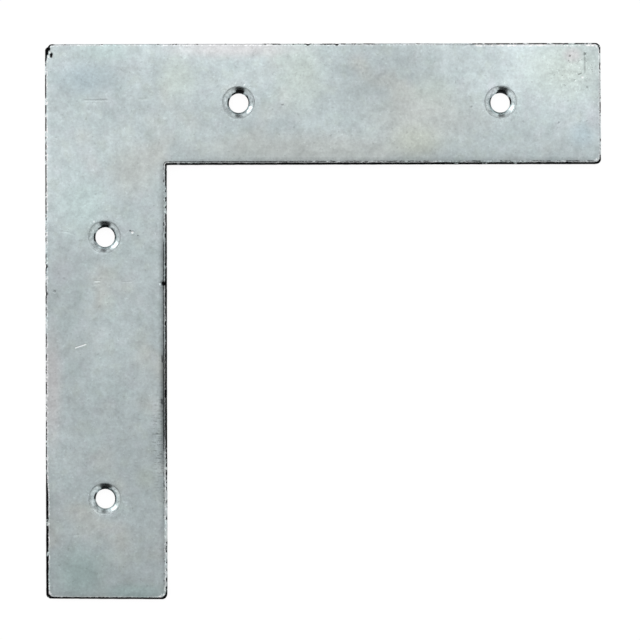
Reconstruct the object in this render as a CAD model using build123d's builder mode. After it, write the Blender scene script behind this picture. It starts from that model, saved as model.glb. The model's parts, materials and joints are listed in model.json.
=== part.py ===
"""Flat corner brace, a four inch L-shaped plate for joining two rails that meet at a right angle.

The brace is one piece. It is blanked from flat steel strip in a single stroke, its four screw
holes are pierced and countersunk, and the whole blank is then zinc plated. It lies on its back
face, at z = 0, with the countersinks up. The origin is on the back face, where the two rows of
holes cross: one leg runs along +X and the other along -Y. All sizes are in millimetres.
"""

import os

from build123d import *

# Blank
leg_length = 101.6
leg_width = 22.2
plate_thickness = 2.0

# Screw holes
hole_row_inset = 10.85
corner_to_first_hole = 35.35
hole_spacing = 47.9
holes_in_leg = 2
screw_hole_diameter = 3.6
countersink_diameter = 5.8
countersink_angle = 90

# Corners of the punch
heel_radius = 0.9
leg_end_radius = 0.65
throat_radius = 0.35

# Edges as the punch and the tumbling barrel leave them
front_edge_roll = 0.4
countersink_lip_roll = 0.35
back_edge_break = 0.1

# How far the blank reaches from the crossing of the two rows of holes: outwards to the heel,
# inwards to the throat, and along each leg to its end
heel_reach = hole_row_inset
throat_reach = leg_width - hole_row_inset
leg_reach = leg_length - hole_row_inset

heel_point = (-heel_reach, heel_reach)
throat_point = (throat_reach, -throat_reach)
outline_points = [
    heel_point,
    (leg_reach, heel_reach),
    (leg_reach, -throat_reach),
    throat_point,
    (throat_reach, -leg_reach),
    (-heel_reach, -leg_reach),
]

# Each leg has the same row of holes, counted from the crossing of the rows
first_hole = corner_to_first_hole - hole_row_inset
hole_distances = [first_hole + step * hole_spacing for step in range(holes_in_leg)]
hole_centres = [(distance, 0, plate_thickness) for distance in hole_distances]
hole_centres += [(0, -distance, plate_thickness) for distance in hole_distances]

os.makedirs("parts", exist_ok=True)


with BuildPart() as corner_plate:
    # The blank: an L with a rounded heel, a nearly sharp throat and four eased leg corners.
    # Heel and throat are the two corners nearest to the heel's own point.
    with BuildSketch(Plane.XY) as blank:
        with BuildLine():
            Polyline(*outline_points, close=True)
        make_face()
        leg_corners = blank.vertices().sort_by_distance(heel_point)[2:]
        fillet(leg_corners, leg_end_radius)
        heel = blank.vertices().sort_by_distance(heel_point)[0]
        fillet(heel, heel_radius)
        throat = blank.vertices().sort_by_distance(throat_point)[0]
        fillet(throat, throat_radius)
    extrude(amount=plate_thickness)

    # The punch draws the front edges down into a roll, and tumbling takes the burr off the back
    front_face = corner_plate.faces().sort_by(Axis.Z)[-1]
    fillet(front_face.outer_wire().edges(), front_edge_roll)
    back_face = corner_plate.faces().sort_by(Axis.Z)[0]
    chamfer(back_face.outer_wire().edges(), back_edge_break)

    # Each screw hole has a cone for the head at the front and a straight land behind it
    with Locations(*hole_centres):
        CounterSinkHole(
            radius=screw_hole_diameter / 2,
            counter_sink_radius=countersink_diameter / 2,
            counter_sink_angle=countersink_angle,
        )

    # The countersinking tool leaves the rim of each cone slightly rolled
    pierced_front = corner_plate.faces().sort_by(Axis.Z)[-1]
    cone_rims = [rim for wire in pierced_front.inner_wires() for rim in wire.edges()]
    fillet(cone_rims, countersink_lip_roll)

corner_plate.part.label = "corner_plate"
export_step(corner_plate.part, "parts/corner_plate.step")

solid_count = len(corner_plate.part.solids())
print(f"corner_plate: {solid_count} solid, {corner_plate.part.volume:.1f} mm3")
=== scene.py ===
import json
import math

import bpy
import numpy as np
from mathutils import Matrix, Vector
from mathutils.geometry import delaunay_2d_cdt


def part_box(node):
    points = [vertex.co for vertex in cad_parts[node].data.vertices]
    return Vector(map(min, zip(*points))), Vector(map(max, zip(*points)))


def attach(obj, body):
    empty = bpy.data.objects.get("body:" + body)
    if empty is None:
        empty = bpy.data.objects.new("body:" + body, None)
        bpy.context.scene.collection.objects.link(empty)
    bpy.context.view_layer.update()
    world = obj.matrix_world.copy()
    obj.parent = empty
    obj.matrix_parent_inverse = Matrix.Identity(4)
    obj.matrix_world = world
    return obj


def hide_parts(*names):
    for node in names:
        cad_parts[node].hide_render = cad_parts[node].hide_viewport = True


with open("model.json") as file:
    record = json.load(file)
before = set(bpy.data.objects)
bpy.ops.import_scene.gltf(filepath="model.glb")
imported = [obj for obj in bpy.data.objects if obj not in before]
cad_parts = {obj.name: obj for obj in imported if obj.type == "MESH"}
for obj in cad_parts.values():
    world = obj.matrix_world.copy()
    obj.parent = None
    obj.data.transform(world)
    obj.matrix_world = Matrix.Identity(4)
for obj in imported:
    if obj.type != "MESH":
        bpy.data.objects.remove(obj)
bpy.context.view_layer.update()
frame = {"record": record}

# The blank
# One L blanked from 2 mm steel strip in a single stroke of a press. The punch draws the front edges
# down into a roll, shears a smooth band below it and breaks the rest of the wall off rough.

MM = 0.001
lowest, highest = (np.array(corner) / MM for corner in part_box("corner_plate"))
left, bottom = lowest[:2]
right, top, front_level = highest
leg_width = 22.2
throat_x = left + leg_width
throat_y = top - leg_width

# The punch is a little out of square, so each leg is shorter at its outer corner. The top edge
# drops towards the heel, and each leg narrows slightly towards its end.
right_end_slant = 0.1
bottom_end_slant = 0.15
heel_drop = 0.12
foot_taper = 0.07
tip_taper = 0.07

# Corners in turn, seen from the front and counted anticlockwise from the outer corner of the end
# of the leg that runs down. A run is named by the corner that it leaves.
corners = np.array([
    (left + foot_taper, bottom + bottom_end_slant),
    (throat_x, bottom),
    (throat_x, throat_y),
    (right, throat_y + tip_taper),
    (right - right_end_slant, top),
    (left, top - heel_drop),
])
corner_radii = np.array([0.95, 0.9, 0.12, 0.85, 1.0, 1.2])
BOTTOM_END, INNER_UPRIGHT, INNER_LEVEL, RIGHT_END, TOP_EDGE, LEFT_EDGE = range(len(corners))
station_step = 0.2
stations_on_corner = 13
tightest_radius = 0.12

run_vectors = np.roll(corners, -1, axis=0) - corners
run_lengths = np.linalg.norm(run_vectors, axis=1)
run_directions = run_vectors / run_lengths[:, None]
run_normals = np.stack([run_directions[:, 1], -run_directions[:, 0]], axis=1)
normals_before = np.roll(run_normals, 1, axis=0)
angle_before = np.arctan2(normals_before[:, 1], normals_before[:, 0])
cross = normals_before[:, 0] * run_normals[:, 1] - normals_before[:, 1] * run_normals[:, 0]
dot = (normals_before * run_normals).sum(axis=1)
corner_turn = np.arctan2(cross, dot)
bends = np.sign(corner_turn)
corner_mitres = (normals_before + run_normals) / (1 + dot)[:, None]

# Stations: a set number round each corner, then evenly spaced along the run that leaves it
run_steps = np.round(run_lengths / station_step).astype(int)
corner_of, part_way, on_corner = [], [], []
for number, steps in enumerate(run_steps):
    corner_of.append(np.full(stations_on_corner + steps - 1, number))
    part_way.append(np.linspace(0, 1, stations_on_corner))
    part_way.append(np.arange(1, steps) / steps)
    on_corner.append(np.arange(stations_on_corner + steps - 1) < stations_on_corner)
corner_of = np.concatenate(corner_of)
part_way = np.concatenate(part_way)
on_corner = np.concatenate(on_corner)
station_count = len(corner_of)
turned = np.where(on_corner, part_way, 1.0)
normal_angle = angle_before[corner_of] + turned * corner_turn[corner_of]
station_normals = np.stack([np.cos(normal_angle), np.sin(normal_angle)], axis=1)


def outline_at(inset):
    """The outline moved inwards, each station by its own inset.

    A corner is an arc about a centre that lies on its mitre line. An outer corner's radius shrinks
    by the inset and the throat's grows by it. A run goes straight from one arc's end to the next.
    """
    def on_arc(corner, angle):
        radius = np.maximum(corner_radii[corner] - bends[corner] * inset, tightest_radius)
        reach = bends[corner] * radius
        centre = corners[corner] - (inset + reach)[:, None] * corner_mitres[corner]
        return centre + reach[:, None] * np.stack([np.cos(angle), np.sin(angle)], axis=1)

    next_corner = (corner_of + 1) % len(corners)
    round_corner = on_arc(corner_of, normal_angle)
    run_start = on_arc(corner_of, angle_before[corner_of] + corner_turn[corner_of])
    run_end = on_arc(next_corner, angle_before[next_corner])
    along_run = run_start + part_way[:, None] * (run_end - run_start)
    return np.where(on_corner[:, None], round_corner, along_run)


rim = outline_at(np.zeros(station_count))
step_lengths = np.linalg.norm(np.roll(rim, -1, axis=0) - rim, axis=1)
travelled = np.cumsum(step_lengths) - step_lengths
press_marks = np.random.default_rng(41)


def uneven(pitch):
    """Random values from -1 to 1 about every pitch round the closed outline, joined smoothly."""
    total = travelled[-1] + step_lengths[-1]
    knots = int(total / pitch)
    heights = press_marks.uniform(-1, 1, knots)
    place = travelled / total * knots
    before = place.astype(int)
    share = place - before
    share = share * share * (3 - 2 * share)
    return heights[before % knots] * (1 - share) + heights[(before + 1) % knots] * share


def near(points, centre, reach):
    """One at a centre, falling off as a bell of the given reach with the distance from it."""
    away = np.linalg.norm(points - np.array(centre), axis=-1)
    return np.exp(-((away / reach) ** 2))


def between(value, low, high, soft):
    """One between two values and nothing beyond them, with an eased step of width soft at each."""
    rise = np.clip((value - low) / soft + 0.5, 0, 1)
    fall = np.clip((high - value) / soft + 0.5, 0, 1)
    return rise * rise * (3 - 2 * rise) * fall * fall * (3 - 2 * fall)


def stretch(run, low, high, soft):
    """One on a run between two places, in x or y as the run lies, and eased over soft at both."""
    upright = run in (INNER_UPRIGHT, LEFT_EDGE)
    along = rim[:, 1] if upright else rim[:, 0]
    return between(along, low, high, soft) * (corner_of == run)


# How the roll changes along the outline: widest on the inner edge of the leg that runs down,
# where the punch cleared the die the most, and tight on the outer edges and both ends
roll_width = np.array([0.34, 0.6, 0.6, 0.36, 0.32, 0.34])[corner_of]
# Stretches with a wider roll: the run, from where to where, how softly, and how much wider
wider_rolls = [
    (INNER_UPRIGHT, -87, -20, 6, 0.65),
    (INNER_UPRIGHT, -87, -52, 8, 0.35),
    (TOP_EDGE, 61, 92, 8, 0.3),
]
for run, low, high, soft, wider in wider_rolls:
    roll_width += wider * stretch(run, low, high, soft) * ~on_corner
smoothing_stations = 25
smoothing = np.hanning(smoothing_stations)
smoothing /= smoothing.sum()


def eased(values):
    """Values along the outline averaged over a few millimetres, round the closed outline."""
    spare = len(smoothing) // 2
    wrapped = np.concatenate([values[-spare:], values, values[:spare]])
    return np.convolve(wrapped, smoothing, mode="valid")


# The width wavers along the edge, and the drop grows more slowly than the width
roll_width = eased(roll_width) * (1 + 0.14 * uneven(2.6) + 0.08 * uneven(0.9))
drop_of_wide_roll = 0.55
drop_power = 0.6
roll_drop = drop_of_wide_roll * roll_width ** drop_power

# Nicks in the front edge: place, how far along the edge each reaches, and how deep it goes
nicks = [
    (left + 0.35, top - 0.45, 0.5, 0.2),
    (37.2, top, 0.26, 0.09),
    (42.5, top, 0.24, 0.08),
    (left, -29.8, 0.30, 0.1),
    (left, -34.9, 0.26, 0.08),
    (right, 6.4, 0.30, 0.08),
    (83.9, top, 0.22, 0.06),
    (throat_x, -24.2, 0.25, 0.1),
    (throat_x, -40.4, 0.22, 0.1),
    (33.0, throat_y, 0.35, 0.08),
    (84.5, throat_y, 0.30, 0.08),
]
nick_depth = 0.014 + 0.012 * uneven(0.7)
for x, y, reach, depth in nicks:
    nick_depth += depth * near(rim, (x, y), reach)

# The wall: the height where the smooth sheared band ends and the rough break begins, how far the
# break leans in, and the height where it ends
band_end = 1.0 + 0.16 * uneven(3.1) + 0.06 * uneven(0.8)
break_lean = 0.05 + 0.012 * uneven(1.3)
back_break = 0.1

# The front face lies low enough for the ridges beside its marks to stay in the blank's thickness
ridge_room = 0.03
face_level = front_level - ridge_room
edge_sag = 0.05
sag_reach = 2.6
wave_height = 0.004
ripple_height = 0.002


def inside(x, y):
    """Distance in from the outline: the least of the distances from the edges that bound a point.

    A point near the throat is bounded by whichever of the two inner edges is farther from it.
    """
    inner = np.maximum(throat_x - x, y - throat_y)
    outer = np.minimum(np.minimum(x - left, top - y), np.minimum(right - x, y - bottom))
    return np.minimum(inner, outer)


# Marks in the front face. Pits: place, radius, depth, and how much dark grime lies in them,
# partly painted shade in the pit, or how brightly they are rubbed if that is below zero, partly a
# painted highlight, as on the heel.
pits = [
    (-10.45, 9.35, 0.38, 0.05, 1.6),
    (-10.2, 9.85, 0.34, 0.03, 1.5),
    (-10.55, 8.85, 0.28, 0.03, 1.4),
    (-10.6, 8.35, 0.22, 0.02, 1.2),
    (-10.65, 7.9, 0.18, 0.02, 1.1),
    (-10.68, 7.45, 0.16, 0.02, 0.9),
    (-9.98, 9.25, 0.2, 0.12, -2.0),
    (-9.66, 8.84, 0.25, 0.12, 1.5),
    (-9.7, 8.42, 0.2, 0.08, 1.3),
    (-10.2, 8.5, 0.18, 0.05, -1.6),
    (5.08, -23.68, 0.24, 0.1, -1.1),
    (4.7, -23.42, 0.17, 0.03, 0.75),
    (6.1, -24.35, 0.16, 0.05, 0.35),
    (10.75, -33.05, 0.38, 0.22, 1.3),
    (10.15, -33.1, 0.2, 0.1, -0.8),
    (-10.6, -29.9, 0.3, 0.12, 1.0),
    (-10.6, -34.9, 0.28, 0.1, 1.0),
    (-9.1, -34.5, 0.22, 0.08, 0.3),
    (32.6, -0.5, 0.2, 0.06, 0.3),
    (67.1, -0.9, 0.2, 0.06, 0.3),
    (83.0, -3.8, 0.18, 0.06, 0.3),
    (85.05, 8.4, 0.22, 0.06, 0.5),
    (85.9, 4.0, 0.18, 0.04, 0.35),
    (87.8, 8.75, 0.26, 0.08, 0.5),
    (10.3, -73.0, 0.24, 0.07, 0.3),
    (37.2, 10.55, 0.24, 0.1, 1.0),
    (25.6, 3.2, 0.2, 0.02, -0.5),
    (26.6, 2.7, 0.18, 0.02, -0.4),
    (-1.9, -21.7, 0.2, 0.02, -0.6),
    (2.35, -21.0, 0.18, 0.02, -0.5),
    (87.3, 4.5, 0.22, 0.02, -0.6),
    (-2.9, -71.6, 0.18, 0.02, -0.4),
    (42.5, 10.55, 0.24, 0.1, 1.0),
]
# Scratches: the two ends, half the width, depth, and how much grime lies in them, partly painted
# shade, or how bright they are rubbed if that is below zero, partly a painted highlight
scratches = [
    (-5.3, -44.75, -3.4, -44.1, 0.11, 0.03, -0.7),
    (-1.9, -32.7, -0.8, -32.65, 0.12, 0.016, -0.4),
    (-1.9, -33.3, -0.8, -33.2, 0.12, 0.01, -0.3),
    (3.3, -32.75, 5.0, -32.65, 0.13, 0.012, 0.22),
    (-3.5, 0.43, 0.5, 0.47, 0.15, 0.03, 0.26),
    (6.3, 0.55, 7.6, 0.6, 0.16, 0.02, 0.16),
    (87.8, 8.0, 87.82, 5.4, 0.15, 0.045, 0.36),
    (71.0, 6.9, 70.9, 4.5, 0.16, 0.014, 0.14),
    (-8.1, -23.5, -6.8, -23.6, 0.16, 0.014, 0.14),
    (-6.8, -23.6, -5.4, -24.1, 0.16, 0.014, 0.14),
    (82.6, 6.6, 82.9, 4.2, 0.16, 0.014, 0.14),
    (-6.6, -79.1, -4.6, -78.9, 0.16, 0.014, 0.14),
    (86.6, 5.0, 87.1, 5.2, 0.15, 0.02, 0.5),
    (11.05, -52.5, 11.0, -53.8, 0.12, 0.02, 0.8),
    (10.45, -54.2, 10.4, -55.0, 0.22, 0.01, 0.7),
    (10.55, -46.2, 10.5, -47.4, 0.16, 0.01, 0.7),
]


def from_segment(x, y, x0, y0, x1, y1):
    """Distance from the segment between two ends: from its nearest point, which is held to it."""
    along_x, along_y = x1 - x0, y1 - y0
    share = ((x - x0) * along_x + (y - y0) * along_y) / (along_x ** 2 + along_y ** 2)
    share = np.clip(share, 0, 1)
    return np.hypot(x - x0 - share * along_x, y - y0 - share * along_y)


# The ridge beside a mark: its height as a share of the mark's depth, then how far from the mark's
# middle it stands and how wide it is, both in the mark's own radii
pit_ridge = (0.22, 1.5, 0.45)
scratch_ridge = (0.25, 1.6, 0.5)


def dent(spread, ridge_height, ridge_at, ridge_width):
    """A bell one deep with a lower bell standing beside it, by the distance in the mark's radii."""
    ridge = ridge_height * np.exp(-((spread - ridge_at) / ridge_width) ** 2)
    return ridge - np.exp(-spread ** 2)


def front_height(x, y):
    """Height of the front face.

    It sags towards the edges by an exponential of the distance in from the outline, carries a
    few slow waves and ripples, and drops at each pit and scratch by a dent.
    """
    height = face_level - edge_sag * np.exp(-np.maximum(inside(x, y), 0) / sag_reach)
    height += wave_height * np.sin(0.43 * x + 0.9) * np.cos(0.37 * y - 0.4)
    height += ripple_height * (np.sin(1.15 * x - 0.6 * y) + np.sin(0.8 * x + 1.31 * y + 2))
    for pit_x, pit_y, radius, depth, grime in pits:
        height += depth * dent(np.hypot(x - pit_x, y - pit_y) / radius, *pit_ridge)
    for x0, y0, x1, y1, half_width, depth, grime in scratches:
        height += depth * dent(from_segment(x, y, x0, y0, x1, y1) / half_width, *scratch_ridge)
    return np.minimum(height, front_level)


def on_front_face(points):
    """Height of the front face at each of an array of points."""
    return front_height(points[:, 0], points[:, 1])


def grime_and_painted_light_at(points):
    """How much dark grime lies at points on the front, partly painted shade, or how bright they are
    rubbed if below zero, partly a painted highlight.

    It is a bell over each pit, and a bell across each scratch.
    """
    found = np.zeros(len(points))
    for x, y, radius, depth, grime in pits:
        found += grime * near(points, (x, y), radius)
    for x0, y0, x1, y1, half_width, depth, grime in scratches:
        spread = from_segment(points[:, 0], points[:, 1], x0, y0, x1, y1) / half_width
        found += grime * np.exp(-spread ** 2)
    return np.clip(found, -1, 1)


# The profile of the edge is carried round the outline, from the flat of the front face over the
# roll, down the smooth band, down the rough break and round to the flat of the back face. It
# starts farther in along the inner edge with the wide roll, and so within a wide reach of it.
collar_inset = 1.3
wide_collar_inset = 2.2
wide_reach = 6.0
collar = eased(np.where(corner_of == INNER_UPRIGHT, wide_collar_inset, collar_inset))
collar_shares = np.linspace(1, 0, 8)[:-1]
roll_angles = np.radians(np.linspace(0, 90, 10))
break_shares = np.linspace(0.2, 1, 4)
# The share of a nick that the roll takes, and how the wall and the back edge lie below it
nicks_on_roll = 0.9
band_inset = 0.004
break_inset = 0.006
break_roughness = 0.35
back_lean = 1.35
back_edge_height = 0.035
back_ring_inset = 0.6

ring_places, ring_heights, ring_brink, ring_wall = [], [], [], []
brink_reach = 2.0


def add_ring(inset, height, push, wall, back=False):
    """One ring of the edge: the outline at an inset, pushed in further by a share of the nicks.

    Its brink is one on the outline and falls evenly to nothing at the brink's reach in from it.
    Its wall is nothing on the faces, a third where the smooth band ends and one at the back.
    """
    place = outline_at(inset) - (push * nick_depth)[:, None] * station_normals
    ring_places.append(place)
    ring_heights.append(height(place) if callable(height) else height)
    ring_brink.append(np.clip(1 - inset / brink_reach, 0, 1) * (not back))
    ring_wall.append(np.full(station_count, wall))


def all_round(value):
    """The same value at every station."""
    return np.full(station_count, value)


for share in collar_shares:
    add_ring(roll_width + (collar - roll_width) * share, on_front_face, 0, 0)
for angle in roll_angles:
    inset = roll_width * (1 - math.sin(angle))
    sunk = roll_drop * (1 - math.cos(angle)) + nicks_on_roll * nick_depth * math.sin(angle)
    add_ring(inset, lambda points: on_front_face(points) - sunk, math.sin(angle), 0)
roll_end = ring_heights[-1]
for share in (0.5, 1):
    drop = (roll_end - band_end) * share
    add_ring(all_round(band_inset), roll_end - drop, 1 - 0.4 * share, 0.35 * share)
for share in break_shares:
    rough = break_lean * share * (1 + break_roughness * uneven(0.55)) + break_inset
    height = band_end + (back_break - band_end) * share
    add_ring(rough, height, 0.6 * (1 - share), 0.4 + 0.5 * share)
lean = break_lean * back_lean + 0.01
flat_back = all_round(0.0)
add_ring(lean + 0.03, all_round(back_edge_height), 0, 0.95)
add_ring(lean + 0.1, flat_back, 0, 1, back=True)
add_ring(all_round(back_ring_inset), flat_back, 0, 0, back=True)
add_ring(all_round(collar_inset), flat_back, 0, 0, back=True)

edge_rings = len(ring_places)
edge_points = np.concatenate([
    np.column_stack([place, height]) for place, height in zip(ring_places, ring_heights)
])
edge_brink = np.concatenate(ring_brink)
edge_wall = np.concatenate(ring_wall)

# What the shear did to each run, with painted shade and highlight laid over it. Soil is how far it
# darkens towards the edge, partly dirt and partly painted shade on the roll, torn how much of its
# outermost line is torn into dark dashes, partly painted shade, seam how dark the line is where the
# roll begins, partly painted shade, rub how bright the tumbling barrel rubbed the band between,
# partly a painted highlight, and scale how much dark scale is on the wall, partly painted shade.
# The inner edges and the bottom end, whose rolls and walls face away from the light, carry the
# most.
edge_wear_and_shade = {
    "soil": np.array([0.15, 0.45, 0.3, 0.05, 0.0, 0.0])[corner_of],
    "torn": np.array([1.7, 0.85, 1.25, 0.4, 0.25, 0.6])[corner_of],
    "seam": np.array([0.1, 0.4, 0.55, 0.0, 0.0, 0.0])[corner_of],
    "rub": np.array([0.4, 0.8, 0.9, 0.5, 0.6, 0.9])[corner_of],
    "scale": np.array([0.35, 0.5, 0.95, 0.2, 0.15, 0.2])[corner_of],
}
# Stretches that wore differently and carry more or less painted shade and highlight: the run, from
# where to where, how softly, and what that adds
worn_and_shaded_stretches = [
    (INNER_LEVEL, 10, 34, 6, {"seam": 0.5}),
    (INNER_UPRIGHT, -62, -26, 5, {"soil": 0.35, "seam": 0.65, "torn": 0.2}),
    (INNER_UPRIGHT, -67, -46, 6, {"soil": 0.3}),
    (LEFT_EDGE, -95, -70, 5, {"soil": 0.15, "torn": 1.9}),
    (LEFT_EDGE, -22, 4, 4, {"torn": 0.2}),
    (TOP_EDGE, 27, 52, 4, {"torn": 0.35}),
    (TOP_EDGE, 67, 92, 3, {"torn": 0.45, "rub": 1.1}),
    (INNER_UPRIGHT, -95, -66, 8, {"soil": -0.2, "torn": -0.4}),
]
for run, low, high, soft, added in worn_and_shaded_stretches:
    for wear, amount in added.items():
        edge_wear_and_shade[wear] += amount * stretch(run, low, high, soft)
for wear in edge_wear_and_shade:
    edge_wear_and_shade[wear] = eased(edge_wear_and_shade[wear])
# Corners take the knocks in the barrel, and carry painted shade in their dark dashes and a painted
# highlight in their pale arcs: the corner, what it adds, how much and how far along
worn_and_shaded_corners = [
    (BOTTOM_END, "torn", 2.3, 1.0),
    (INNER_UPRIGHT, "torn", 2.3, 1.0),
    (RIGHT_END, "torn", 2.3, 1.0),
    (LEFT_EDGE, "torn", 2.3, 1.0),
    (TOP_EDGE, "torn", 1.2, 1.2),
    (INNER_UPRIGHT, "rub", 2.5, 1.3),
    (RIGHT_END, "rub", 2.0, 1.3),
    (BOTTOM_END, "rub", 1.5, 1.3),
]
for corner, wear, amount, reach in worn_and_shaded_corners:
    edge_wear_and_shade[wear] += amount * near(rim, corners[corner], reach)
# Nicks tear the outermost line darker, partly as painted shade in the nick
torn_and_shaded_at_nick = 6
for x, y, reach, depth in nicks:
    edge_wear_and_shade["torn"] += torn_and_shaded_at_nick * depth * near(rim, (x, y), reach)
most_wear = 4


def round_every_ring(values):
    """One number for each station, held to the most wear and repeated for every ring."""
    return np.tile(np.clip(values, 0, most_wear), edge_rings)


def band_quads(first, rings, around):
    """Quads between rings that follow one another, numbered ring by ring from first.

    Each joins a place on a ring, the next place round it, and the same two on the ring after.
    """
    ring, place = np.meshgrid(np.arange(rings - 1), np.arange(around), indexing="ij")
    here = first + ring * around + place
    beside = first + ring * around + (place + 1) % around
    return np.stack([here, beside, beside + around, here + around], axis=-1).reshape(-1, 4)


edge_quads = band_quads(0, edge_rings, station_count)[:, ::-1]

# The screw holes
# Four holes pierced through both legs, each with a 90 degree cone coined in from the front for a
# countersunk screw. Coining pushes up a faint collar round each cone and rolls its rim.

mounts = {mount["name"]: mount for mount in frame["record"]["mounts"]}


def hole_row(name, spacing, axis):
    """Centres of one row of holes: the mount's place and steps of its spacing along one axis."""
    mount = mounts[name]
    count = mount["dims"]["count"]
    steps = np.arange(count) - (count - 1) / 2
    centres = np.tile(np.array(mount["pos_m"][:2]) / MM, (count, 1))
    centres[:, axis] += steps * mount["dims"][spacing]
    return centres


hole_centres = np.concatenate([
    hole_row("screw_holes_x", "spacing_x_mm", 0),
    hole_row("screw_holes_y", "spacing_y_mm", 1),
])
hole_radius = mounts["screw_holes_x"]["dims"]["hole_r_mm"]
collar_radius = 4.6
points_round_hole = 96
round_angles = np.arange(points_round_hole) * 2 * math.pi / points_round_hole

# The shoulder round the cone: radius, height over the front face, and how far into the hole
shoulder = [
    (collar_radius, 0, 0),
    (4.1, 0.004, 0.02),
    (3.7, 0.008, 0.04),
    (3.4, 0.01, 0.06),
    (3.1, 0.008, 0.1),
]
# The cone steepens as it goes down: its angle is the foot's angle times a small power of the
# share of the way in, and its depth is the running sum of the slope
rim_start = 3.02
land_edge = 0.02
foot_angle = math.radians(46)
steepening = 0.38
cone_radii = np.linspace(rim_start, hole_radius + land_edge, 16)
way_in = (rim_start - cone_radii) / (rim_start - cone_radii[-1])
cone_slopes = np.tan(foot_angle * way_in ** steepening)
cone_steps = -np.diff(cone_radii) * (cone_slopes[1:] + cone_slopes[:-1]) / 2
cone_drops = np.concatenate([[0], np.cumsum(cone_steps)])

# Burrs dragged down at the foot of each cone, made darker as painted shade and dark reflection at
# the same bearings in every hole: bearing and half width in degrees, how far they reach up from the
# land, and how dark they are. Each fades out over a tenth of a millimetre.
burr_and_shade_fade = 0.12
burr_and_shade_arcs = [
    (82, 20, 0.55, 1.1),
    (96, 34, 0.2, 0.9),
    (15, 30, 0.2, 0.85),
    (48, 14, 0.5, 0.5),
    (-95, 26, 0.32, 0.45),
    (170, 22, 0.24, 0.95),
    (212, 20, 0.5, 0.45),
]


def burr_and_shade_on(radius, angles, arcs):
    """How thick the burr and its painted shade lie on one ring of a hole: a flat bell round each
    arc's bearing.
    """
    found = np.zeros(len(angles))
    for bearing, half_width, reach, strength in arcs:
        off = np.angle(np.exp(1j * (angles - math.radians(bearing)))) / math.radians(half_width)
        share = np.clip((hole_radius + reach - radius) / burr_and_shade_fade + 0.5, 0, 1)
        found += strength * share * np.exp(-off ** 4)
    return np.clip(found, 0, 1)


def circle(centre, radius):
    """Points round a centre, as x and y, at a radius that may change from one to the next."""
    return centre[0] + radius * np.cos(round_angles), centre[1] + radius * np.sin(round_angles)


# Each hole has its own marks: its rim wavers, less on the collar, and its burrs with their painted
# shade are turned, longer and darker or less so. Behind the cone comes the land: radius, height and
# how far into the hole.
hole_marks = np.random.default_rng(7)
burr_and_shade_turn = 9
burr_and_shade_reaches = (0.8, 1.2)
burr_and_shade_strengths = (0.75, 1.1)
collar_waver = 0.004
rim_waver = 0.009
rim_lift = 0.004
back_ring_radius = 2.4
hole_blocks, sink_blocks, burr_and_shade_blocks = [], [], []
for centre in hole_centres:
    wobble = sum(
        hole_marks.uniform(-1, 1) / turns
        * np.sin(turns * round_angles + hole_marks.uniform(0, 6.3))
        for turns in range(2, 9)
    )
    turned_arcs = [
        (bearing + hole_marks.uniform(-burr_and_shade_turn, burr_and_shade_turn), half_width,
         reach * hole_marks.uniform(*burr_and_shade_reaches),
         strength * hole_marks.uniform(*burr_and_shade_strengths))
        for bearing, half_width, reach, strength in burr_and_shade_arcs
    ]
    rings = []
    for radius, over, depth in shoulder:
        waver = 1 + collar_waver * wobble * (radius < collar_radius)
        x, y = circle(centre, radius * waver)
        rings.append((x, y, np.minimum(front_height(x, y) + over, front_level), depth))
    beside_rim = front_height(*(centre + (rim_start, 0)))
    rim_level = np.minimum(beside_rim + rim_lift, front_level)
    for radius, drop, share in zip(cone_radii, cone_drops, way_in):
        waver = 1 + rim_waver * wobble * (1 - share)
        x, y = circle(centre, radius * waver)
        rings.append((x, y, np.full(points_round_hole, rim_level - drop), 0.15 + 0.6 * share))
    cone_foot = rim_level - cone_drops[-1] - land_edge
    land = [
        (hole_radius + 0.012, cone_foot, 0.8),
        (hole_radius, cone_foot - 0.06, 0.85),
        (hole_radius, 0.45 * cone_foot, 0.9),
        (hole_radius + 0.01, 0.08, 0.95),
        (hole_radius + 0.05, 0.015, 0.97),
        (hole_radius + 0.12, 0.0, 0.5),
        (back_ring_radius, 0.0, 0),
    ]
    for radius, height, depth in land:
        rings.append((*circle(centre, radius), np.full(points_round_hole, height), depth))
    hole_blocks.append(np.concatenate([np.column_stack([x, y, z]) for x, y, z, depth in rings]))
    sink_blocks.append(np.repeat([depth for x, y, z, depth in rings], points_round_hole))
    burr_and_shade_blocks.append(np.concatenate([
        burr_and_shade_on(np.hypot(x - centre[0], y - centre[1]).mean(), round_angles, turned_arcs)
        for x, y, z, depth in rings
    ]))
rings_in_hole = len(rings)
points_in_hole = rings_in_hole * points_round_hole
hole_first = len(edge_points) + np.arange(len(hole_centres)) * points_in_hole
hole_quads = np.concatenate([
    band_quads(first, rings_in_hole, points_round_hole) for first in hole_first
])

# The two faces
# Both faces are the strip's own rolled skin. The front has lain among other plates in the barrel,
# so it carries their pits and scratches, and the back is left plain.

# How far apart the points of a face lie, and how far they keep from its edge, holes and marks. The
# points over a mark are given in its own radii or half widths, and run past a scratch's ends.
front_pitch = 0.62
back_pitch = 1.6
front_clearance = 0.3
back_clearance = 0.6
mark_clearance = 0.12
least_gap = 0.14
rings_over_pit = np.array([0.35, 0.7, 1.05, 1.4, 1.8, 2.3])[:, None]
points_round_pit = 12
rows_over_scratch = np.array([-2.4, -1.6, -0.8, 0, 0.8, 1.6, 2.4])[:, None]
past_scratch = 0.2
scratch_pitch = 0.16
fewest_on_scratch = 6


def lattice(pitch, clear_of_edge, clear_of_hole):
    """Points in staggered rows a pitch apart, kept where they clear the edge and the holes."""
    row_pitch = pitch * math.sqrt(3) / 2
    rows = np.arange(bottom, top, row_pitch)
    x, y = np.meshgrid(np.arange(left, right, pitch), rows)
    x = x + (np.arange(len(rows)) % 2)[:, None] * pitch / 2
    points = np.column_stack([x.ravel(), y.ravel()])
    return kept_clear(points, clear_of_edge, clear_of_hole)


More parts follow.
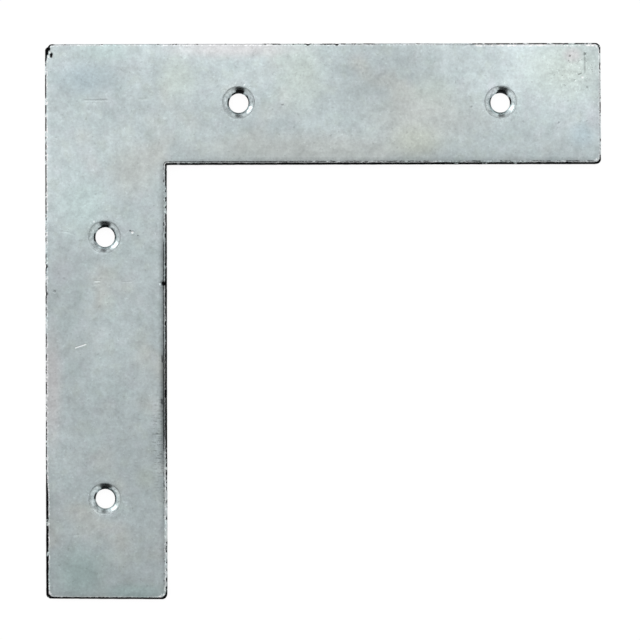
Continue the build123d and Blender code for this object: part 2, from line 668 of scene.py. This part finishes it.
def kept_clear(points, clear_of_edge, clear_of_hole):
    """The points farther than a clearance from the outline's last ring and from every hole."""
    x, y = points.T
    beside_wide_roll = (abs(x - throat_x) < wide_reach) & (y < throat_y + wide_reach)
    ring_inset = np.where(beside_wide_roll, wide_collar_inset, collar_inset)
    away = np.linalg.norm(points[:, None] - hole_centres[None], axis=2).min(axis=1)
    return points[(inside(x, y) > ring_inset + clear_of_edge) & (away > clear_of_hole)]


def mark_points():
    """Close points over every pit, as rings round it, and over every scratch, as rows along it."""
    blocks = []
    turn = np.arange(points_round_pit) * 2 * math.pi / points_round_pit
    for x, y, radius, depth, grime in pits:
        reaches = rings_over_pit * radius
        blocks.append(np.column_stack([
            (x + reaches * np.cos(turn)).ravel(), (y + reaches * np.sin(turn)).ravel()
        ]))
        blocks.append(np.array([[x, y]]))
    for x0, y0, x1, y1, half_width, depth, grime in scratches:
        length = math.hypot(x1 - x0, y1 - y0)
        past = past_scratch / length
        steps = max(int(length / scratch_pitch), fewest_on_scratch)
        along = np.linspace(-past, 1 + past, steps)
        across = rows_over_scratch * half_width / length
        blocks.append(np.column_stack([
            (x0 + along * (x1 - x0) - across * (y1 - y0)).ravel(),
            (y0 + along * (y1 - y0) + across * (x1 - x0)).ravel(),
        ]))
    return np.concatenate(blocks)


def fill(outline_numbers, hole_numbers, extra, known):
    """Triangles over a face between the outline ring, the hole rings and the extra points.

    They are the Delaunay triangles of all the points that keep every ring's own sides. A triangle
    with all its corners on one ring is kept only on the ring's metal side: seen anticlockwise, its
    corner numbers rise round the outline and fall round a hole.
    """
    loops = [outline_numbers] + hole_numbers
    numbers = np.concatenate(loops)
    places = np.concatenate([known[numbers][:, :2], extra])
    ring_of = np.full(len(places), -1)
    sides, first = [], 0
    for number, loop in enumerate(loops):
        ids = first + np.arange(len(loop))
        ring_of[ids] = number
        sides.append(np.column_stack([ids, np.roll(ids, -1)]))
        first += len(loop)
    made = delaunay_2d_cdt(places.tolist(), np.concatenate(sides).tolist(), [], 0, 1e-7, False)
    if len(made[0]) != len(places):
        raise ValueError("the face fill merged or added a point")
    triangles = np.array(made[2])
    a, b, c = triangles.T
    rising = ((a < b).astype(int) + (b < c) + (c < a)) == 2
    same_ring = (ring_of[a] == ring_of[b]) & (ring_of[b] == ring_of[c])
    outside = same_ring & (ring_of[a] == 0) & ~rising
    in_hole = same_ring & (ring_of[a] > 0) & rising
    return triangles[~(outside | in_hole)], numbers


marks = kept_clear(mark_points(), mark_clearance, collar_radius + mark_clearance)
open_ground = lattice(front_pitch, front_clearance, collar_radius + front_clearance)
gaps = np.linalg.norm(open_ground[:, None] - marks[None], axis=2).min(axis=1)
front_extra = np.concatenate([open_ground[gaps > least_gap], marks])
back_extra = lattice(back_pitch, back_clearance, back_ring_radius + back_clearance)

known_points = np.concatenate([edge_points] + hole_blocks)
outline_front = np.arange(station_count)
outline_back = (edge_rings - 1) * station_count + np.arange(station_count)
hole_fronts = [first + np.arange(points_round_hole) for first in hole_first]
hole_backs = [number + (rings_in_hole - 1) * points_round_hole for number in hole_fronts]


def face_triangles(outline_numbers, hole_numbers, extra, first_extra):
    """The fill's triangles, with its own point numbers turned into the whole plate's."""
    triangles, numbers = fill(outline_numbers, hole_numbers, extra, known_points)
    plate_numbers = np.concatenate([numbers, first_extra + np.arange(len(extra))])
    return plate_numbers[triangles]


front_first = len(known_points)
back_first = front_first + len(front_extra)
front_triangles = face_triangles(outline_front, hole_fronts, front_extra, front_first)
back_triangles = face_triangles(outline_back, hole_backs, back_extra, back_first)[:, ::-1]

plate_points = np.concatenate([
    known_points,
    np.column_stack([front_extra, on_front_face(front_extra)]),
    np.column_stack([back_extra, np.zeros(len(back_extra))]),
])
plate_quads = np.concatenate([edge_quads, hole_quads])
plate_triangles = np.concatenate([front_triangles, back_triangles])


def mesh_of(name, points, quads, triangles):
    """A mesh in metres: the corner numbers of all the quads, then those of all the triangles."""
    mesh = bpy.data.meshes.new(name)
    mesh.vertices.add(len(points))
    mesh.vertices.foreach_set("co", (points * MM).ravel())
    corner_numbers = np.concatenate([quads.ravel(), triangles.ravel()])
    mesh.loops.add(len(corner_numbers))
    mesh.loops.foreach_set("vertex_index", corner_numbers)
    sizes = np.concatenate([np.full(len(quads), 4), np.full(len(triangles), 3)])
    mesh.polygons.add(len(sizes))
    mesh.polygons.foreach_set("loop_start", np.cumsum(sizes) - sizes)
    mesh.polygons.foreach_set("use_smooth", np.ones(len(sizes), bool))
    mesh.update(calc_edges=True)
    return mesh


def into_scene(name, data):
    """A new object that holds the data, linked into the scene."""
    made = bpy.data.objects.new(name, data)
    bpy.context.scene.collection.objects.link(made)
    return made


plate_mesh = mesh_of("corner_brace", plate_points, plate_quads, plate_triangles)
corner_brace = into_scene("corner_brace", plate_mesh)


def store_on_points(name, values):
    """Stores one number for each of the plate's first points, and nothing for the rest."""
    numbers = np.zeros(len(plate_points), np.float32)
    numbers[:len(values)] = values
    plate_mesh.attributes.new(name, "FLOAT", "POINT").data.foreach_set("value", numbers)


no_edge = np.zeros(len(edge_points))
on_front_side = plate_points[:, 2] > front_level / 2
store_on_points("brink", edge_brink)
store_on_points("wall", edge_wall)
for wear, values in edge_wear_and_shade.items():
    store_on_points(wear, round_every_ring(values))
store_on_points("sink", np.concatenate([no_edge] + sink_blocks))
store_on_points("burr", np.concatenate([no_edge] + burr_and_shade_blocks))
store_on_points("grime", grime_and_painted_light_at(plate_points[:, :2]) * on_front_side)

# The finish
# Bright zinc, electroplated over the whole blank and passivated clear, which leaves a satin grey
# with faint blue, green and straw clouds. Sheared steel shows darker through it at the edges.
# Painted shade and highlights are laid into the colour as well: along the edges, in the marks, at
# the foot of each cone and in some of the brightness clouds.


class Shade:
    """An output in a node tree. Sums on values add Math nodes, and node() adds any other node."""

    def __init__(self, tree, socket=None):
        self.tree = tree
        self.socket = socket

    def node(self, kind, settings=None, sockets=None, output=0):
        """Adds a node: its settings first, then the value or link of each named socket."""
        made = self.tree.nodes.new(kind)
        for name, setting in (settings or {}).items():
            setattr(made, name, setting)
        for name, value in (sockets or {}).items():
            if isinstance(value, Shade):
                self.tree.links.new(value.socket, made.inputs[name])
            else:
                made.inputs[name].default_value = value
        return Shade(self.tree, made.outputs[output] if made.outputs else None)

    def math(self, operation, first, second=0.0):
        """A sum on two values."""
        return self.node("ShaderNodeMath", {"operation": operation}, {0: first, 1: second})

    def __add__(self, other):
        return self.math("ADD", self, other)

    __radd__ = __add__

    def __mul__(self, other):
        return self.math("MULTIPLY", self, other)

    __rmul__ = __mul__

    def __sub__(self, other):
        return self.math("SUBTRACT", self, other)

    def __rsub__(self, other):
        return self.math("SUBTRACT", other, self)

    def step(self, low, high):
        """Eases from nothing at low to one at high. With low above high it eases down."""
        sockets = {"Value": self, "From Min": low, "From Max": high}
        return self.node("ShaderNodeMapRange", {"interpolation_type": "SMOOTHSTEP"}, sockets)

    def vector(self, operation, other=(0, 0, 0), output="Vector"):
        """A sum on this vector and another."""
        settings = {"operation": operation}
        return self.node("ShaderNodeVectorMath", settings, {0: self, 1: other}, output)

    def color(self, low, high):
        """A colour that goes from low to high with this value."""
        return self.node("ShaderNodeMix", {"data_type": "RGBA"}, {0: self, 6: low, 7: high}, 2)

    def mix(self, share, color, blend="MIX"):
        """This colour with another laid over it by a share. A Mix node takes them at 6 and 7."""
        settings = {"data_type": "RGBA", "blend_type": blend}
        if not isinstance(color, Shade):
            color = (*color, 1)
        return self.node("ShaderNodeMix", settings, {0: share, 6: self, 7: color}, 2)

    def noise(self, size, detail=2.0, roughness=0.5, stretch=(1, 1, 1), shift=0.0):
        """Noise from 0 to 1 whose grains are about size across, in this vector's own unit."""
        place = self.vector("MULTIPLY", stretch).vector("ADD", (shift, shift * 1.7, shift * 0.6))
        sockets = {"Vector": place, "Scale": 1 / size, "Detail": detail, "Roughness": roughness}
        return self.node("ShaderNodeTexNoise", {}, sockets)


def empty_bench(owner):
    """A place to build nodes in: the owner's own node tree, with nothing in it."""
    owner.use_nodes = True
    owner.node_tree.nodes.clear()
    return Shade(owner.node_tree)


zinc = bpy.data.materials.new("zinc_plate")
bench = empty_bench(zinc)
place = bench.node("ShaderNodeTexCoord", output="Object").vector("MULTIPLY", (1 / MM,) * 3)
flat_place = place.vector("MULTIPLY", (1, 1, 0))
height = bench.node("ShaderNodeSeparateXYZ", sockets={"Vector": place}, output="Z")
on_front = height.step(0.9, 1.2)


def stored(name):
    """One of the numbers stored on the mesh's points, as a value."""
    return bench.node("ShaderNodeAttribute", {"attribute_name": name}, output="Fac")


brink, wall, sink, burr, grime = (
    stored(name) for name in ("brink", "wall", "sink", "burr", "grime")
)
soil, torn, seam, rub, scale = (stored(wear) for wear in edge_wear_and_shade)


def patch(x, y, reach_x, reach_y):
    """One at a place on the front, easing to nothing at an ellipse of the given reach round it."""
    offset = flat_place.vector("SUBTRACT", (x, y, 0))
    scaled = offset.vector("MULTIPLY", (1 / reach_x, 1 / reach_y, 0))
    return scaled.vector("LENGTH", output="Value").step(1, 0.15)


def varied(level, noise, strength):
    """A level made darker and lighter as a noise goes from 0 to 1."""
    return level * (1 + strength * (noise - 0.5))


# The grey of the zinc, mottled from 2 mm down to a quarter, over a slower drift and under a finer
# grain: the size in millimetres, how many times it is halved, how rough, its shift and strength
zinc_level = 0.613
mottles = [
    (2.2, 3.0, 0.92, 3.0, 0.7),
    (7.0, 1.0, 0.5, 14.0, 0.1),
    (0.5, 1.0, 0.6, 27.0, 0.2),
]
level = zinc_level
for size, detail, rough, shift, strength in mottles:
    level = varied(level, place.noise(size, detail, rough, shift=shift), strength)

# Sparse light and dark specks, stronger near the end of the level leg, which has been handled
speck_size = 0.55
light_specks = place.noise(speck_size, 1.0, shift=9.0).step(0.67, 0.75)
dark_specks = place.noise(speck_size, 1.0, shift=21.0).step(0.31, 0.24)
handled = patch(86.0, 5.5, 6, 6)
lighter = (0.12 + 0.25 * handled) * light_specks
darker = (0.15 + 0.35 * handled) * dark_specks
level = level * (1 + lighter - darker)
level = varied(level, place.noise(0.8, 2.0, 0.7, shift=37.0), 0.7 * handled)

# Brightness clouds on the front, partly uneven tone of the plating and partly painted light and
# shade, with painted highlights in the thin ones along the top and left edges: place, reach along x
# and y, and how much lighter or darker
tone_and_painted_light_clouds = [
    (3.0, 10.0, 34, 5, 0.06),
    (-1.5, 3.8, 9, 4.5, -0.06),
    (25.0, 8.0, 26, 11, 0.08),
    (50.0, 6.0, 13, 13, -0.15),
    (80.0, 6.0, 20, 15, 0.14),
    (86.0, 2.0, 9, 12, 0.08),
    (55.0, -11.5, 55, 6, -0.12),
    (30.0, -7.0, 12, 6, -0.07),
    (-9.0, -14.0, 14, 22, 0.15),
    (-8.5, -33.0, 9, 14, -0.07),
    (-10.0, -62.0, 8, 16, 0.1),
    (0.0, -77.0, 9, 7, 0.08),
    (0.0, -92.0, 22, 12, -0.08),
    (-3.8, -86.5, 4.5, 5, -0.06),
    (40.0, 10.4, 60, 3.4, 0.06),
    (79.0, 8.6, 8, 5, 0.1),
    (74.0, 4.0, 6, 6, 0.08),
    (0.5, -44.0, 7, 13, 0.09),
    (-3.0, -20.0, 6, 6, 0.06),
    (3.0, -18.0, 8, 6, 0.05),
    (3.6, -6.0, 5, 5, 0.1),
    (-10.35, -6.0, 0.8, 20, 0.12),
    (-1.0, 10.4, 9, 0.9, 0.06),
    (-8.5, 7.0, 5, 5, 0.07),
    (27.0, -1.0, 9, 5, -0.03),
]
for x, y, reach_x, reach_y, change in tone_and_painted_light_clouds:
    level = level * (1 + on_front * change * patch(x, y, reach_x, reach_y))

# Tints of the passivation, as red, green and blue against green, and where they lie
cool = (0.885, 1.0, 1.02)
blue = (0.835, 1.0, 1.065)
green = (0.835, 1.0, 0.995)
teal = (0.79, 1.0, 0.985)
straw = (0.885, 1.0, 0.95)
warm = (0.94, 1.0, 0.975)
tan = (0.93, 1.0, 0.905)
rose = (1.01, 1.0, 1.015)
lilac = (0.93, 1.0, 1.05)
stains = [
    (-3.2, 4.4, 8.5, 4.5, blue),
    (0.0, 9.5, 8, 3, green),
    (36.0, 5.0, 6, 10, straw),
    (84.0, 6.0, 11, 8, straw),
    (60.0, 1.5, 6, 5, straw),
    (13.5, 4.5, 5, 6, straw),
    (58.0, -3.0, 15, 7, warm),
    (38.0, -8.5, 32, 4.5, warm),
    (57.0, -7.0, 7, 4.5, tan),
    (5.5, -12.0, 7, 7, warm),
    (87.3, -6.0, 3.5, 3.5, blue),
    (89.3, -2.8, 2, 3.5, lilac),
    (70.8, 2.6, 1.2, 3, lilac),
    (-4.0, -19.0, 6, 8, green),
    (-7.8, -31.0, 3.5, 4, lilac),
    (-9.8, -52.0, 3.0, 16, rose),
    (23.0, 9.9, 17, 2.6, rose),
    (85.5, 8.6, 2.5, 2, rose),
    (-4.5, -86.0, 7, 7, teal),
    (5.0, -89.5, 9, 2.5, teal),
    (7.5, -68.5, 3, 3, straw),
]
stain_strength = 0.8
tint = place.noise(9.0, 1.0, shift=31.0).step(0.55, 0.75).color((*cool, 1), (*warm, 1))
small_drift = place.noise(2.4, 1.0, shift=47.0)
blotches = place.noise(3.4, 0.0, shift=57.0)
# Drifts of tint all over: where the noise lies, between which steps, how strong and what colour
drifts = [
    (small_drift, 0.55, 0.7, 0.35, straw),
    (small_drift, 0.45, 0.3, 0.35, lilac),
    (blotches, 0.56, 0.72, 0.25, green),
    (blotches, 0.44, 0.28, 0.12, warm),
]
for noise, low, high, strength, color in drifts:
    tint = tint.mix(noise.step(low, high) * strength, color)
for x, y, reach_x, reach_y, color in stains:
    tint = tint.mix(on_front * stain_strength * patch(x, y, reach_x, reach_y), color)

# Towards the sheared edge the plating darkens, partly with dirt and partly as painted shade on the
# roll. In from it come a torn line of dark dashes, partly painted shade, a rubbed band with pale
# flecks, partly a painted highlight, and a thin dark seam where the roll begins, partly painted
# shade. Each pair says where a line fades in or out, in millimetres from the edge. The lines
# wander, and the wear and painted light of the run widen them.
darkened_reach = (1.75, 0.15)
torn_and_shaded_ends = (0.19, 0.1)
rubbed_and_highlit_starts = (0.06, 0.16)
rubbed_and_highlit_ends = (0.34, 0.2)
seam_and_shade_starts = (0.42, 0.5)
seam_and_shade_ends = (0.68, 0.6)
combed_starts = (0.3, 0.5)
line_wander = 0.42
torn_and_shaded_widens = 0.14
rub_and_highlight_widens = 0.15
inset = brink_reach * (1 - brink)
wander = place.noise(0.7, 3.0, 0.75, shift=40.0)
drawn_inset = inset + line_wander * (wander - 0.5)
dashes = place.noise(0.85, 2.0, 0.6, shift=60.0)
long_dashes = place.noise(3.6, 1.0, shift=71.0)
flecks = place.noise(0.42, 1.0, 0.5, shift=77.0)
hairs = place.noise(0.2, 1.0, 0.5, stretch=(0.1, 1, 1), shift=89.0)
# Painted shade on the roll, over some dirt, darkening towards the edge
level = level * (1 - 0.8 * soil * inset.step(*darkened_reach))

# Hair-fine lines combed across the middle of the inner edge of the leg that runs down
combed = patch(10.4, -62.0, 2.6, 15) * inset.step(*combed_starts)
level = level * (1 - 0.5 * combed * hairs.step(0.5, 0.62) * wander.step(0.42, 0.6))

# The rubbed band, partly a painted highlight, and lighter still where the roll is darkened
rubbed_and_highlit_inset = drawn_inset - rub_and_highlight_widens * rub - torn_and_shaded_widens * torn
rubbed_and_highlit_band = rubbed_and_highlit_inset.step(*rubbed_and_highlit_ends) * drawn_inset.step(*rubbed_and_highlit_starts)
tint = tint.mix(rubbed_and_highlit_band * long_dashes.step(0.38, 0.52) * 0.45, rose)
level = level * (1 + rub * rubbed_and_highlit_band * (0.08 + 0.65 * flecks.step(0.49, 0.63)))
level = level * (1 + 0.9 * soil * rubbed_and_highlit_band)

# The dark seam, partly painted shade
seam_and_shade_share = dashes * 0.5 + long_dashes * 0.2 + seam * 0.3
seam_and_shade_line = drawn_inset.step(*seam_and_shade_starts) * drawn_inset.step(*seam_and_shade_ends)
level = level * (1 - 0.8 * (seam_and_shade_line * seam_and_shade_share.step(0.48, 0.56)))

# The torn dashes, partly painted shade
dash_share = dashes * 0.75 + long_dashes * 0.25 + 0.24 * torn.step(0.0, 1.25)
broken = (drawn_inset - torn_and_shaded_widens * torn).step(*torn_and_shaded_ends) * dash_share.step(0.59, 0.63)

# The wall: striations run through its thickness, over a smooth band and a rough dark break
streaks = place.noise(0.22, 3.0, 0.65, stretch=(1, 1, 0.12), shift=83.0)
on_wall = wall.step(0.0, 0.12)
rough_break = wall.step(0.36, 0.48)
wall_level = (0.32 + 0.26 * streaks) * (1 - 0.42 * rough_break)
level = level * (1 - on_wall) + wall_level * on_wall

# The zones of a hole, by how far in they lie: the collar pushed up round it, the rim of the cone,
# the cone and the straight land behind it
on_collar = sink.step(0.0, 0.05) * sink.step(0.14, 0.1)
on_rim = sink.step(0.14, 0.17) * sink.step(0.27, 0.2)
in_cone = sink.step(0.16, 0.3) * sink.step(0.84, 0.78)
in_land = sink.step(0.78, 0.83)

# The coined cone is cleaner, with faint rings and blotches, a broken dark line inside its rim and
# a burr at its foot, darkened with painted shade and dark reflection. The land is dull.
rings_of_tool = sink.node("ShaderNodeTexNoise", {"noise_dimensions": "1D"},
                          {"W": sink, "Scale": 26.0, "Detail": 2.0})
blotches_in_cone = place.noise(0.5, 2.0, shift=95.0)
# Burrs at the foot, partly painted shade and dark reflection
ragged_burr_and_shade = (burr + 0.8 * (blotches_in_cone - 0.5)).step(0.3, 0.75) * burr.step(0.0, 0.2)
cone_change = 0.12 + 0.3 * (rings_of_tool - 0.5) + 1.5 * (blotches_in_cone - 0.5)
level = level * (1 + in_cone * cone_change)
level = level * (1 - 0.4 * on_rim * (0.3 + 0.7 * blotches_in_cone.step(0.48, 0.6)))

# A mark that is rubbed bright, partly a painted highlight, has grime below zero
bright_marks_and_highlights = (0 - grime).step(0.1, 0.7)
level = level * (1 + 1.3 * bright_marks_and_highlights)
level = level * (1 - 0.35 * in_land)
level = level * (1 + 0.14 * on_collar * flecks.step(0.54, 0.68))

color = bench.node("ShaderNodeCombineColor", sockets={"Red": level, "Green": level, "Blue": level})
color = color.mix(1.0, tint, "MULTIPLY")

grain = place.noise(0.3, 3.0, 0.6, shift=5.0)
rubbed = place.noise(4.5, 2.0, shift=12.0)
roughness = 0.36 + 0.1 * rubbed + 0.06 * grain
roughness = roughness - 0.21 * in_cone + 0.15 * on_wall + 0.3 * rough_break
metallic = 1 - 0.2 * on_wall - 0.4 * rough_break

relief_depth = 0.012
relief = (0.55 * grain + 0.45 * place.noise(1.1, 2.0, shift=15.0)) * (1 - in_cone)
relief = relief + on_wall * 1.6 * streaks + 0.3 * in_cone * rings_of_tool
bump_sockets = {"Strength": 0.6, "Distance": relief_depth * MM, "Height": relief}
bump = bench.node("ShaderNodeBump", sockets=bump_sockets)

plating = bench.node("ShaderNodeBsdfPrincipled", sockets={
    "Base Color": color,
    "Roughness": roughness,
    "Metallic": metallic,
    "Normal": bump,
})
# Torn steel under thin plating, with oil and scale in it: dull and nearly black. It shows in the
# dashes, in scale on the wall, in grimy marks and in the burrs, and in each it is partly painted
# shade.
torn_steel_and_shade = bench.node("ShaderNodeBsdfPrincipled", sockets={
    "Base Color": (0.006, 0.006, 0.0065, 1),
    "Roughness": 0.7,
    "Specular IOR Level": 0.0,
    "Normal": bump,
})
# Dark scale on the wall, partly painted shade on the walls that face away from the light
scale_and_shade_patches = place.noise(1.8, 2.0, 0.6, stretch=(1, 1, 0.4), shift=33.0)
scale_and_shade_cover = (scale + 0.5 * (scale_and_shade_patches - 0.5)).step(0.2, 0.9)
bare_and_shaded = broken * (1 - on_wall) + on_wall * scale_and_shade_cover * (0.85 + 0.15 * rough_break)
bare_and_shaded = bare_and_shaded + grime.step(0.1, 0.75) + 0.94 * ragged_burr_and_shade
bare_and_shaded = bench.math("MINIMUM", bare_and_shaded, 1.0)
surface = bench.node("ShaderNodeMixShader", sockets={0: bare_and_shaded, 1: plating, 2: torn_steel_and_shade})
bench.node("ShaderNodeOutputMaterial", sockets={"Surface": surface})
plate_mesh.materials.append(zinc)

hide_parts("corner_plate")
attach(corner_brace, "root")

# The table
# A plain white sheet under the plate. It keeps the plate's soft shadow, and shows white to the
# camera and in reflections.

sheet_half = 2.0
below_plate = 0.00005
floor_mesh = bpy.data.meshes.new("table_sheet")
way_round = [(-1, -1), (1, -1), (1, 1), (-1, 1)]
sheet_corners = [(x * sheet_half, y * sheet_half, -below_plate) for x, y in way_round]
floor_mesh.from_pydata(sheet_corners, [], [(0, 1, 2, 3)])
table_sheet = into_scene("table_sheet", floor_mesh)

paper = bpy.data.materials.new("white_paper")
sheet = empty_bench(paper)
sheet_albedo = 0.14
sheet_glow = 0.93
from_camera = sheet.node("ShaderNodeLightPath", output="Is Camera Ray")
from_gloss = sheet.node("ShaderNodeLightPath", output="Is Glossy Ray")
from_glass = sheet.node("ShaderNodeLightPath", output="Is Transmission Ray")
glow = sheet_glow * (from_camera + from_gloss + from_glass).step(0, 1)
matte = sheet.node("ShaderNodeBsdfDiffuse", sockets={"Color": (sheet_albedo,) * 3 + (1,)})
lit = sheet.node("ShaderNodeEmission", sockets={"Color": (1, 1, 1, 1), "Strength": glow})
both = sheet.node("ShaderNodeAddShader", sockets={0: matte, 1: lit})
sheet.node("ShaderNodeOutputMaterial", sockets={"Surface": both})
floor_mesh.materials.append(paper)

# The light
# A softbox overhead, set back, and a broad low one far off behind on the left, which shows only in
# reflections and glints in the countersinks. The studio is pale, with a dark screen in front and
# two fainter ones behind.

plate_middle = (0.03, -0.03, 0.0)


def softbox(name, place, width, height, power, in_diffuse=True):
    """An area lamp at a place, turned to face the plate."""
    lamp = bpy.data.lights.new(name, "AREA")
    lamp.shape = "RECTANGLE"
    lamp.size = width
    lamp.size_y = height
    lamp.energy = power
    made = into_scene(name, lamp)
    made.location = place
    facing = Vector(plate_middle) - Vector(place)
    made.rotation_euler = facing.to_track_quat("-Z", "Y").to_euler()
    made.visible_diffuse = in_diffuse


softbox("overhead", (0.03, 0.24, 0.75), width=0.7, height=0.5, power=1.05)

far_bearing = math.radians(143)
far_away = 2.4
far_level = 0.6
far_place = (
    plate_middle[0] + far_away * math.cos(far_bearing),
    plate_middle[1] + far_away * math.sin(far_bearing),
    far_level,
)
softbox("far_softbox", far_place, width=1.25, height=1.3, power=9.0, in_diffuse=False)

studio = bpy.data.worlds.new("studio")
bpy.context.scene.world = studio
room = empty_bench(studio)
toward = room.node("ShaderNodeTexCoord", output="Generated")
upward = toward.vector("DOT_PRODUCT", (0, 0, 1), output="Value")
level_way = toward.vector("MULTIPLY", (1, 1, 0)).vector("NORMALIZE")


def screen(bearing, half_width, soft):
    """One in the directions within half a width of a bearing, easing off over soft, in degrees."""
    turned = math.radians(bearing)
    bearing_way = (math.cos(turned), math.sin(turned), 0)
    facing = level_way.vector("DOT_PRODUCT", bearing_way, output="Value")
    outer = math.cos(math.radians(half_width + soft))
    inner = math.cos(math.radians(max(half_width - soft, 0)))
    return facing.step(outer, inner)


# Screens: bearing, half width and softness in degrees, how much each darkens the studio's walls,
# and the rise of the sight line from where its top fades out to where it is whole
screens = [
    (-99, 24, 5, 0.98, 0.9, 0.7),
    (90, 11, 5, 0.75, 0.7, 0.4),
    (47, 12, 6, 0.4, 0.7, 0.4),
]
walls = 0.8
for bearing, half_width, soft, darkness, fades_out, whole in screens:
    below_top = upward.step(fades_out, whole)
    walls = walls * (1 - darkness * screen(bearing, half_width, soft) * below_top)
ceiling_darkness = 0.34
walls = walls * (1 - ceiling_darkness * upward.step(0.35, 0.85))
seen = room.node("ShaderNodeLightPath", output="Is Camera Ray")
strength = walls * (1 - seen) + seen
backdrop = room.node("ShaderNodeBackground", sockets={"Color": (1, 1, 1, 1), "Strength": strength})
room.node("ShaderNodeOutputWorld", sockets={"Surface": backdrop})

# The camera
# It looks straight down on the plate from 42 cm above its front face, turned by a hair.

camera_data = bpy.data.cameras.new("camera")
camera = into_scene("camera", camera_data)
camera_over = (0.03934, -0.03974)
camera_above = 0.42
camera_turn = -0.085
view_width = 0.11684
camera_data.sensor_width = 36.0
camera_data.lens = camera_data.sensor_width * camera_above / view_width
camera_data.clip_start = 0.01
camera.location = (*camera_over, highest[2] * MM + camera_above)
camera.rotation_euler = (0, 0, math.radians(camera_turn))
bpy.context.scene.camera = camera
bpy.context.scene.view_settings.view_transform = "Standard"
